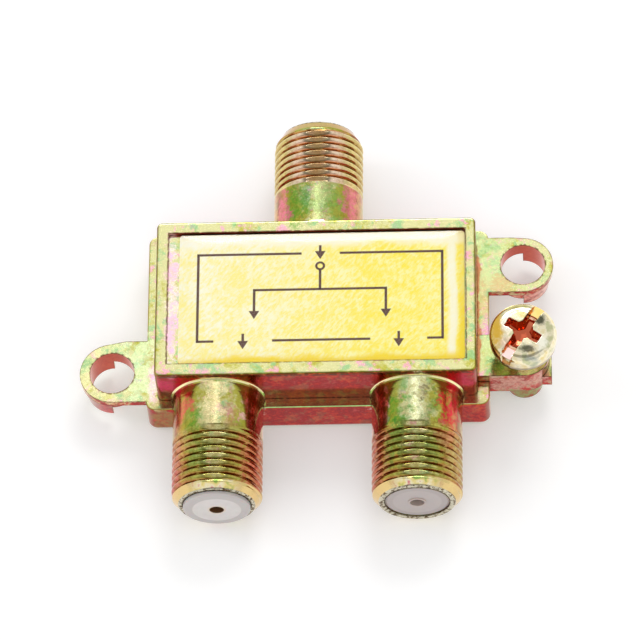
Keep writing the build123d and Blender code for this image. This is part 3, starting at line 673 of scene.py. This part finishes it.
def insulator_finish():
    """Milky port plastic: a darker outer band, a paler face and a brown pin hole; the right port's insulator is
    painted darker as shade.
    """
    mat = Shader("port_plastic")
    place = mat.place()
    port = PortFrame(mat, place)
    cloud = mat.noise(place, 1.2, 4.0, 0.6)
    shade = mat.mix(cloud, (222, 214, 210), (240, 234, 231))
    shade = mat.mix(mat.rise(port.radius, *BAND_RADIUS), shade, (206, 199, 196))
    shade = mat.mix(mat.fade(port.radius, *HUB_RADIUS), shade, (236, 220, 202))
    right = mat.times(port.front, mat.rise(port.at["X"], *RIGHT_PORT_X))
    hole = mat.mix(right, (110, 74, 44), (216, 196, 176))
    shade = mat.mix(mat.fade(port.radius, *PIN_HOLE_RADIUS), shade, hole)
    # The right port's insulator darker: painted shade
    shade = mat.cover(shade, (184, 170, 167), right, 0.7)
    return mat.finish(
        Base_Color=shade,
        Roughness=0.42,
        Subsurface_Weight=0.2,
        Subsurface_Scale=0.6 * MM,
        Normal=mat.bump(cloud, 0.15, 0.03),
    )


# Where the gold of the label changes: from left to right, the painted reflections of a white band at the
# back and a pale band at the right, and the deeper right and front edges
GOLD_X, WHITE_Y = (-12.0, 9.0), (5.6, 6.6)
PALE_X, PALE_X_FADE = (13.5, 14.1), (14.5, 14.9)
DEEP_X, DEEP_X_BY_Y, DEEP_FRONT = (14.7, 15.15), (-6.0, 5.0), (6.5, 7.3)


def label_foil_finish():
    """Gold label foil, cloudy and streaked, with painted reflections as a white band at the back and a pale
    band at the right, deeper in colour along its right and front edges.
    """
    mat = Shader("label_print")
    place = mat.place()
    at = mat.split(place)
    turned = mat.node("ShaderNodeMapping", {"Vector": place, "Rotation": (0, 0, 0.7)}).outputs[0]
    streaks = mat.vector("MULTIPLY", turned, (1.5, 0.6, 1.0))
    cloud = mat.noise(streaks, 2.2, 6.0, 0.75, 0.2)
    mottle = mat.scaled(mat.noise(place, 0.3, 3.0, 0.6), 0.3, mat.times(cloud, 0.8))
    across = mat.rise(at["X"], *GOLD_X)
    deep = mat.mix(across, (255, 242, 150), (255, 235, 76))
    light = mat.mix(across, (255, 252, 224), (255, 248, 170))
    gold = mat.mix(mat.rise(mottle, 0.46, 0.66), deep, light)
    # The white band at the back and the pale one at the right, painted reflections, and the deeper edges, all
    # slightly wavy
    wander = mat.scaled(mat.noise(place, 0.22, 2.0, 0.5), 2.4, -1.2)
    top = mat.rise(mat.math("ADD", at["Y"], wander), *WHITE_Y)
    beside = mat.math("ADD", at["X"], mat.times(wander, 0.6))
    painted_reflection_band = mat.times(mat.rise(beside, *PALE_X), mat.fade(beside, *PALE_X_FADE))
    gold = mat.cover(gold, (255, 253, 236), mat.math("MAXIMUM", top, painted_reflection_band), 0.75)
    toward_front = mat.scaled(mat.rise(at["Y"], *DEEP_X_BY_Y), -0.55, 0.95)
    right = mat.times(mat.rise(beside, *DEEP_X), toward_front)
    front = mat.rise(mat.math("SUBTRACT", wander, at["Y"]), *DEEP_FRONT)
    gold = mat.cover(gold, (250, 220, 40), mat.math("MAXIMUM", right, front), 0.9)
    return mat.finish(
        Base_Color=gold, Roughness=0.5, Specular_IOR_Level=0.2, Normal=mat.bump(cloud, 0.1, 0.03)
    )


def ink_finish():
    """Dark brown label ink."""
    mat = Shader("label_ink")
    cloud = mat.noise(mat.place(), 6.0)
    return mat.finish(Base_Color=mat.mix(cloud, (60, 24, 4), (82, 40, 10)), Roughness=0.5)


def clear_resin():
    """Clear domed resin: light passes straight through it and the surface shines."""
    mat = Shader("label_resin")
    waves = mat.noise(mat.place(), 1.4, 2.0, 0.5)
    normal = mat.bump(waves, 0.15, 0.03)
    gloss = mat.node("ShaderNodeBsdfGlossy", {"Roughness": 0.07, "Normal": normal})
    clear = mat.node("ShaderNodeBsdfTransparent")
    fresnel = mat.node("ShaderNodeFresnel", {"IOR": 1.4, "Normal": normal})
    inside = mat.node("ShaderNodeNewGeometry").outputs["Backfacing"]
    share = mat.times(fresnel.outputs[0], mat.flip(inside))
    both = mat.node("ShaderNodeMixShader", {0: share, 1: clear.outputs[0], 2: gloss.outputs[0]})
    mat.node("ShaderNodeOutputMaterial", {"Surface": both.outputs[0]})
    return mat.material


def give(piece, material):
    """The piece has this material alone."""
    piece.data.materials.clear()
    piece.data.materials.append(material)


def add_object(name, data):
    """A new object in the scene."""
    made = bpy.data.objects.new(name, data)
    bpy.context.scene.collection.objects.link(made)
    return made


def mesh_object(name, bm, sharp=35):
    """A new object from a bmesh, shaded smooth but for edges that turn by more than sharp degrees."""
    mesh = bpy.data.meshes.new(name)
    bm.to_mesh(mesh)
    bm.free()
    mesh.shade_smooth()
    mesh.set_sharp_from_angle(angle=math.radians(sharp))
    kept = mesh.attributes.get(CAD_NORMAL)
    if kept:
        mesh.normals_split_custom_set([Vector(corner.vector) for corner in kept.data])
        mesh.attributes.remove(mesh.attributes[CAD_NORMAL])
    return add_object(name, mesh)


def thread_radius(along, angle):
    """Radius of the rolled thread at a distance from the box wall and an angle round the port."""
    turn = ((along - THREAD_START) / THREAD_PITCH - angle / math.tau) % 1.0
    ridge = math.sin(math.pi * turn) ** 0.5
    depth = THREAD_DEPTH * smooth_step(0.0, 0.5, along - THREAD_START)
    radius = PORT_RADIUS - depth * (1 - ridge)
    slant = abs(math.cos(angle))
    if slant > 0.9:
        radius = min(radius, THREAD_FLAT / slant)
    return radius


def nose_profile(length, lip):
    """Distances and radii from the end of the thread over the cone and rim to the lip."""
    profile = []
    for step in range(1, NOSE_STEPS + 1):
        share = step / NOSE_STEPS
        along = CREST_END + share * (length - 0.12 - CREST_END)
        profile.append((along, PORT_RADIUS + share * (NOSE_RADIUS - PORT_RADIUS)))
    profile.append((length - 0.03, NOSE_RADIUS - 0.03))
    profile.append((length, NOSE_RADIUS - 0.12))
    profile.append((length, (NOSE_RADIUS + lip) / 2))
    profile.append((length - 0.02, lip + 0.05))
    profile.append((length - 0.08, lip))
    return profile


def add_points(bm, points):
    """Adds vertices at points in millimetres."""
    return [bm.verts.new(Vector(point) * MM) for point in points]


def angles_round(count):
    """Even angles once round a circle."""
    return [math.tau * index / count for index in range(count)]


def port_ring(bm, x, direction, along, radii):
    """A ring of vertices round a port's axis, one radius for each."""
    y = direction * (BOX_HALF_DEPTH + along)
    turns = zip(radii, angles_round(len(radii)))
    return add_points(bm, [(x + r * math.sin(a), y, PORT_HEIGHT + r * math.cos(a)) for r, a in turns])


def join_rings(bm, first, second, flip):
    """Quads between two rings."""
    count = len(first)
    for index in range(count):
        following = (index + 1) % count
        corners = [first[index], first[following], second[following], second[index]]
        bm.faces.new(corners[::-1] if flip else corners)


def cad_copy(source):
    """A bmesh of a CAD piece that remembers the normals of its corners."""
    bm = bmesh.new()
    bm.from_mesh(source)
    layer = bm.loops.layers.float_vector.new(CAD_NORMAL)
    for face, polygon in zip(bm.faces, source.polygons):
        for loop, corner in zip(face.loops, polygon.loop_indices):
            loop[layer] = source.corner_normals[corner].vector
    return bm


def cut_plain_thread(bm, x, direction):
    """Removes the faces of a port's plain rings, cone and rim."""
    cut = []
    for face in bm.faces:
        alongs = [direction * vertex.co.y / MM - BOX_HALF_DEPTH for vertex in face.verts]
        if min(alongs) < THREAD_START - 0.01:
            continue
        reach = max(math.hypot(vertex.co.x / MM - x, vertex.co.z / MM - PORT_HEIGHT) for vertex in face.verts)
        if NOSE_RADIUS - 0.05 < reach < PORT_RADIUS + 0.1:
            cut.append(face)
    bmesh.ops.delete(bm, geom=cut, context="FACES")


def add_rolled_thread(bm, x, direction, length, lip):
    """Adds a port's helical thread, and its cone and rim to the lip."""
    angles = angles_round(THREAD_SEGMENTS)
    rings = [port_ring(bm, x, direction, THREAD_START - 0.03, [PORT_RADIUS - 0.004] * THREAD_SEGMENTS)]
    steps = round((CREST_END - THREAD_START) / THREAD_PITCH * RINGS_PER_PITCH)
    for step in range(1, steps + 1):
        along = THREAD_START + (CREST_END - THREAD_START) * step / steps
        rings.append(port_ring(bm, x, direction, along, [thread_radius(along, angle) for angle in angles]))
    for along, limit in nose_profile(length, lip):
        radii = [limit] * THREAD_SEGMENTS
        if limit > NOSE_RADIUS:
            radii = [min(limit, thread_radius(along, angle)) for angle in angles]
        rings.append(port_ring(bm, x, direction, along, radii))
    for first, second in zip(rings, rings[1:]):
        join_rings(bm, first, second, direction > 0)


def housing_casting():
    """The casting with its real helical threads in place of the plain rings."""
    bm = cad_copy(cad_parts["housing"].data)
    bmesh.ops.remove_doubles(bm, verts=bm.verts, dist=0.0005 * MM)
    for x, direction, length, lip in PORTS:
        cut_plain_thread(bm, x, direction)
        add_rolled_thread(bm, x, direction, length, lip)
    piece = mesh_object("housing_casting", bm)
    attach(piece, "splitter")
    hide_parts("housing")
    return piece


def bar_depth(along, across, half_length, half_width):
    """How far a point lies inside a bar, negative outside it."""
    return min(half_length - abs(along), half_width - abs(across))


def recess_depth(x, y):
    """Depth of the slot and the cross in the screw's head at a point from its axis."""
    turn = math.radians(SLOT_ANGLE)
    along = x * math.cos(turn) + y * math.sin(turn)
    across = y * math.cos(turn) - x * math.sin(turn)
    wander = 0.07 * noise.noise(Vector((x * 1.9, y * 1.9, 4.0)))
    slot = bar_depth(along, across, 9.0, SLOT_HALF_WIDTH) + wander
    arms = max(
        bar_depth(along, across, CROSS_REACH, CROSS_HALF_WIDTH),
        bar_depth(across, along, CROSS_REACH, CROSS_HALF_WIDTH),
    )
    heart = 1.0 - (abs(along) + abs(across)) * 0.72
    cross = max(arms, heart) + wander
    reach = min(1.0, math.hypot(x, y) / 2.1)
    cross_depth = (CROSS_DEPTH - 0.65 * reach * reach) * smooth_step(-0.08, 0.2, cross)
    return max(cross_depth, SLOT_DEPTH * smooth_step(-0.07, 0.12, slot))


def head_profile():
    """Radii and heights of the screw's head above its seat, from its middle outwards and down."""
    profile = []
    flat_steps, round_steps = 60, 16
    for step in range(1, flat_steps + 1):
        radius = HEAD_FLAT_RADIUS * step / flat_steps
        profile.append((radius, HEAD_TOP + HEAD_CROWN * (1 - (radius / HEAD_FLAT_RADIUS) ** 2)))
    for step in range(1, round_steps + 1):
        angle = math.pi / 2 * step / round_steps
        height = HEAD_TOP - HEAD_ROUND + HEAD_ROUND * math.cos(angle)
        profile.append((HEAD_FLAT_RADIUS + HEAD_ROUND * math.sin(angle), height))
    profile += [(3.5, 1.0), (3.5, 0.6), (3.48, 0.2), (3.38, 0.04), (3.2, 0.0), (1.4, 0.0)]
    return profile


def screw_ring(bm, radii, heights):
    """A ring of vertices round the ground screw's axis."""
    x, y = SCREW_AXIS
    turns = zip(radii, heights, angles_round(len(radii)))
    return add_points(bm, [(x + r * math.cos(a), y + r * math.sin(a), SCREW_SEAT + h) for r, h, a in turns])


def head_height(radius, height, angle):
    """Height of the head above its seat, less the slot and the cross."""
    if height <= 0.9:
        return height
    cut = recess_depth(radius * math.cos(angle), radius * math.sin(angle))
    floor = SLOT_FLOOR if radius > 2.2 and height > SLOT_FLOOR else 0.0
    return min(height, max(height - cut, floor))


def add_screw_head(bm):
    """Adds the pan head of the ground screw."""
    top = HEAD_TOP + HEAD_CROWN - recess_depth(0.0, 0.0)
    middle = add_points(bm, [(*SCREW_AXIS, SCREW_SEAT + top)])[0]
    previous = None
    for radius, height in head_profile():
        heights = [head_height(radius, height, angle) for angle in angles_round(HEAD_SEGMENTS)]
        current = screw_ring(bm, [radius] * HEAD_SEGMENTS, heights)
        if previous:
            join_rings(bm, previous, current, True)
        else:
            for first, second in zip(current, current[1:] + current[:1]):
                bm.faces.new([middle, first, second])
        previous = current


def add_screw_shank(bm):
    """Adds the shank of the ground screw, with a helical thread and a taper at its end."""
    previous = None
    steps = int(SCREW_LENGTH / SCREW_PITCH * 10)
    for step in range(steps + 1):
        height = 0.02 - SCREW_LENGTH * step / steps
        taper = 0.3 * smooth_step(0.5, 0.0, height + SCREW_LENGTH)
        depth = SHANK_THREAD_DEPTH * smooth_step(0.0, 0.4, -height)
        radii = []
        for index in range(SHANK_SEGMENTS):
            turn = (height / SCREW_PITCH - index / SHANK_SEGMENTS) % 1.0
            radii.append(SHANK_RADIUS - taper - depth * (1 - math.sin(math.pi * turn) ** 0.8))
        current = screw_ring(bm, radii, [height] * SHANK_SEGMENTS)
        if previous:
            join_rings(bm, previous, current, True)
        previous = current
    bm.faces.new(previous[::-1])


def screw_piece():
    """The ground screw: a pan head with a worn slot and cross, and a threaded shank."""
    bm = bmesh.new()
    add_screw_head(bm)
    add_screw_shank(bm)
    piece = mesh_object("ground_screw_head", bm, 62)
    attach(piece, "screw")
    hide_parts("ground_screw")
    return piece


def flat_shape(bm, points, z):
    """A flat filled outline of ink."""
    bm.faces.new(add_points(bm, [(x, y, z) for x, y in points]))


def flat_stroke(bm, start, end, width, z):
    """A flat bar of ink between two points."""
    start, end = Vector(start), Vector(end)
    run = (end - start).normalized()
    side = Vector((-run.y, run.x)) * width / 2
    flat_shape(bm, [start - side, end - side, end + side, start + side], z)


def flat_ring(bm, centre, inner, outer, z, segments=32):
    """A flat ring of ink."""
    x, y = centre
    turns = angles_round(segments)
    circles = [[(x + r * math.cos(a), y + r * math.sin(a), z) for a in turns] for r in (inner, outer)]
    join_rings(bm, *[add_points(bm, circle) for circle in circles], True)


def flat_arrow(bm, tail, tip, width, z):
    """A flat arrow: a stroke that ends in a filled head."""
    tail, tip = Vector(tail), Vector(tip)
    run = (tip - tail).normalized()
    side = Vector((-run.y, run.x)) * ARROW_HALF_WIDTH
    neck = tip - run * ARROW_HEAD
    flat_stroke(bm, tail, neck, width, z)
    flat_shape(bm, [neck - side, tip, neck + side], z)


def label_print():
    """The generic print on the label: a broken frame, arrows at the ports and the sign for a divider."""
    bm = bmesh.new()
    z = FOIL_TOP + 0.004
    left, right, top, bottom = PRINT_FRAME
    centre, fork, arm = DIVIDER_CENTRE, DIVIDER_FORK, DIVIDER_ARM
    half = PRINT_WIDTH / 2
    strokes = (
        ((left - half, top), (-1.5, top)),
        ((2.5, top), (right + half, top)),
        ((left, top), (left, bottom - half)),
        ((right, top), (right, bottom - half)),
        ((left, bottom), (-10.6, bottom)),
        ((-4.5, bottom), (5.7, bottom)),
        ((11.6, bottom), (right, bottom)),
        # The divider: one line in from the back, two out to the front
        ((centre, 3.35), (centre, fork)),
        ((centre - arm, fork), (centre + arm, fork)),
    )
    arrows = (
        ((centre - arm + half, fork), (centre - arm + half, -2.4)),
        ((centre + arm - half, fork), (centre + arm - half, -2.4)),
        ((centre, 6.2), (centre, 4.55)),
        ((-7.55, -4.1), (-7.55, -5.9)),
        ((8.65, -4.1), (8.65, -5.9)),
    )
    for start, end in strokes:
        flat_stroke(bm, start, end, PRINT_WIDTH, z)
    flat_ring(bm, (centre, 3.75), 0.28, 0.52, z)
    for tail, tip in arrows:
        flat_arrow(bm, tail, tip, PRINT_WIDTH, z)
    piece = mesh_object("label_ink", bm)
    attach(piece, "splitter")
    return piece


def resin_height(x, y):
    """Height of the resin's surface above the foil: a soft shoulder and a slightly wavy middle."""
    left, right, front, back = RESIN_EDGES
    gap_x, gap_y = min(x - left, right - x), min(y - front, back - y)
    corner = math.log(math.exp(-gap_x / RESIN_CORNER) + math.exp(-gap_y / RESIN_CORNER))
    gap = -RESIN_CORNER * corner + RESIN_CORNER * 0.35
    ripple = noise.noise(Vector((x * 0.3, y * 0.3, 7.0)))
    share = min(1.0, max(0.0, gap / (RESIN_SHOULDER + 0.4 * ripple)))
    waves = noise.noise(Vector((x * 0.45, y * 0.45, 2.0)))
    crown = (RESIN_CROWN - RESIN_EDGE) * (1 - (1 - share) ** 1.35)
    return RESIN_EDGE + crown - RESIN_RIPPLE * share * (1 + waves)


def resin_dome():
    """The clear resin over the label as a soft pillow with small ripples."""
    left, right, front, back = RESIN_EDGES
    bm = bmesh.new()
    grid = []
    for row in range(RESIN_ROWS + 1):
        line = []
        for column in range(RESIN_COLUMNS + 1):
            # Closer together toward the edges, where the surface bends
            across = 0.5 - 0.5 * math.cos(math.pi * column / RESIN_COLUMNS)
            along = 0.5 - 0.5 * math.cos(math.pi * row / RESIN_ROWS)
            x, y = left + (right - left) * across, front + (back - front) * along
            line.append((x, y, FOIL_TOP + resin_height(x, y)))
        grid.append(add_points(bm, line))
    for low, high in zip(grid, grid[1:]):
        for column in range(RESIN_COLUMNS):
            bm.faces.new([low[column], low[column + 1], high[column + 1], high[column]])
    right_side = [line[-1] for line in grid[:-1]]
    left_side = [line[0] for line in grid[:0:-1]]
    border = grid[0][:-1] + right_side + grid[-1][:0:-1] + left_side
    feet = [bm.verts.new(Vector((vertex.co.x, vertex.co.y, (FOIL_TOP + 0.002) * MM))) for vertex in border]
    join_rings(bm, feet, border, False)
    piece = mesh_object("resin_dome", bm)
    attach(piece, "splitter")
    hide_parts("label_dome")
    return piece


def build_camera():
    """The camera at the photograph's viewing angle."""
    data = bpy.data.cameras.new("camera")
    data.lens = CAMERA_LENS
    data.sensor_width = 36.0
    data.clip_start, data.clip_end = 0.01, 10.0
    camera = add_object("camera", data)
    place, target = Vector(CAMERA_PLACE) * MM, Vector(CAMERA_TARGET) * MM
    ahead = (target - place).normalized()
    right = ahead.cross(Vector((0, 0, 1))).normalized()
    up = right.cross(ahead)
    rolled_right = right * math.cos(CAMERA_ROLL) + up * math.sin(CAMERA_ROLL)
    rolled_up = up * math.cos(CAMERA_ROLL) - right * math.sin(CAMERA_ROLL)
    turn = Matrix((rolled_right, rolled_up, -ahead)).transposed().to_4x4()
    camera.matrix_world = Matrix.Translation(place) @ turn
    bpy.context.scene.camera = camera


def area_lamp(name, place, size, watts):
    """A rectangular soft lamp that faces the object, all lengths in metres."""
    data = bpy.data.lights.new(name, "AREA")
    data.shape = "RECTANGLE"
    data.size, data.size_y = size
    data.energy = watts
    lamp = add_object(name, data)
    lamp.location = place
    lamp.visible_glossy = False
    lamp.rotation_euler = (-Vector(place)).to_track_quat("-Z", "Y").to_euler()


def direction_mask(mat, direction, ranges):
    """1 for directions inside soft limits."""
    share = 1.0
    for axis, low, low_full, high_full, high in ranges:
        share = mat.times(mat.rise(direction[axis], low, low_full), share)
        if high is not None:
            share = mat.times(share, mat.fade(direction[axis], high_full, high))
    return share


def build_light():
    """Plain soft studio light: a pale tent, bright at the back and darker in front, and three lamps."""
    world = bpy.data.worlds.new("studio")
    bpy.context.scene.world = world
    mat = Shader("studio", world)
    direction = mat.split(mat.node("ShaderNodeTexCoord").outputs["Generated"])
    reflected = TENT_LIGHT
    for light, ranges in ((SHADE_LIGHT, DARK_FRONT), (BAND_LIGHT, LOW_BAND), (PANEL_LIGHT, PANEL)):
        reflected = mat.scaled(direction_mask(mat, direction, ranges), light, reflected)
    path = mat.node("ShaderNodeLightPath").outputs
    seen = mat.math("MAXIMUM", path["Is Camera Ray"], path["Is Transmission Ray"])
    glossy = mat.times(path["Is Glossy Ray"], reflected)
    plain = mat.times(mat.flip(path["Is Glossy Ray"]), WORLD_LIGHT)
    unseen = mat.times(mat.flip(seen), mat.math("ADD", glossy, plain))
    world.cycles.sampling_method = "NONE"
    strength = mat.math("ADD", seen, unseen)
    background = mat.node("ShaderNodeBackground", {"Color": (1, 1, 1, 1), "Strength": strength})
    mat.node("ShaderNodeOutputWorld", {"Surface": background.outputs[0]})
    for lamp in LAMPS:
        area_lamp(*lamp)


def build_floor():
    """The plain pale floor, with the object's shadow on it."""
    bm = bmesh.new()
    corners = ((-1, -1), (1, -1), (1, 1), (-1, 1))
    bm.faces.new([bm.verts.new((x * FLOOR_HALF, y * FLOOR_HALF, 0)) for x, y in corners])
    floor = mesh_object("floor", bm)
    mat = Shader("floor_white")
    diffuse = mat.node("ShaderNodeBsdfDiffuse", {"Color": (0.8, 0.8, 0.8, 1)})
    path = mat.node("ShaderNodeLightPath").outputs
    seen = mat.math("MAXIMUM", path["Is Camera Ray"], path["Is Transmission Ray"])
    strength = mat.scaled(seen, FLOOR_SEEN_GLOW, mat.times(path["Is Glossy Ray"], FLOOR_REFLECTED_GLOW))
    glow = mat.node("ShaderNodeEmission", {"Color": (1, 1, 1, 1), "Strength": strength})
    total = mat.node("ShaderNodeAddShader", {0: diffuse.outputs[0], 1: glow.outputs[0]})
    mat.node("ShaderNodeOutputMaterial", {"Surface": total.outputs[0]})
    give(floor, mat.material)


def build_finishes():
    """Every material by the name of its slot, but for the casting's own."""
    finishes = {
        "label_print": label_foil_finish(),
        "label_resin": clear_resin(),
        "screw_plating": screw_finish(),
        "port_plastic": insulator_finish(),
    }
    for name, colour, roughness in METALS:
        finishes[name] = plain_metal(name, colour, roughness)
    for name, colour, roughness, grain_scale in PLASTICS:
        finishes[name] = plastic(name, colour, roughness, grain_scale)
    return finishes


def dress_nodes(finishes):
    """Gives each CAD node but the housing the finish of its slot."""
    for node_name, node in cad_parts.items():
        for word, slot in SLOTS.items():
            if word in node_name:
                give(node, finishes[slot])


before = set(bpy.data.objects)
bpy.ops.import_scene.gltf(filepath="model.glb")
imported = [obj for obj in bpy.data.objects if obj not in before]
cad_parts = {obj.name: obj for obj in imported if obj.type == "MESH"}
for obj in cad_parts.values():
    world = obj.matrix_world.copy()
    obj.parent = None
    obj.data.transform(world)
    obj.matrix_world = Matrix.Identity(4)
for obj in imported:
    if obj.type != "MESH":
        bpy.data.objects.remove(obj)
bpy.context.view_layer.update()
bpy.context.scene.view_settings.view_transform = "Standard"
build_camera()
build_light()
build_floor()

give(housing_casting(), plated_zinc())
all_finishes = build_finishes()
give(label_print(), ink_finish())
give(resin_dome(), all_finishes["label_resin"])
give(screw_piece(), all_finishes["screw_plating"])
dress_nodes(all_finishes)
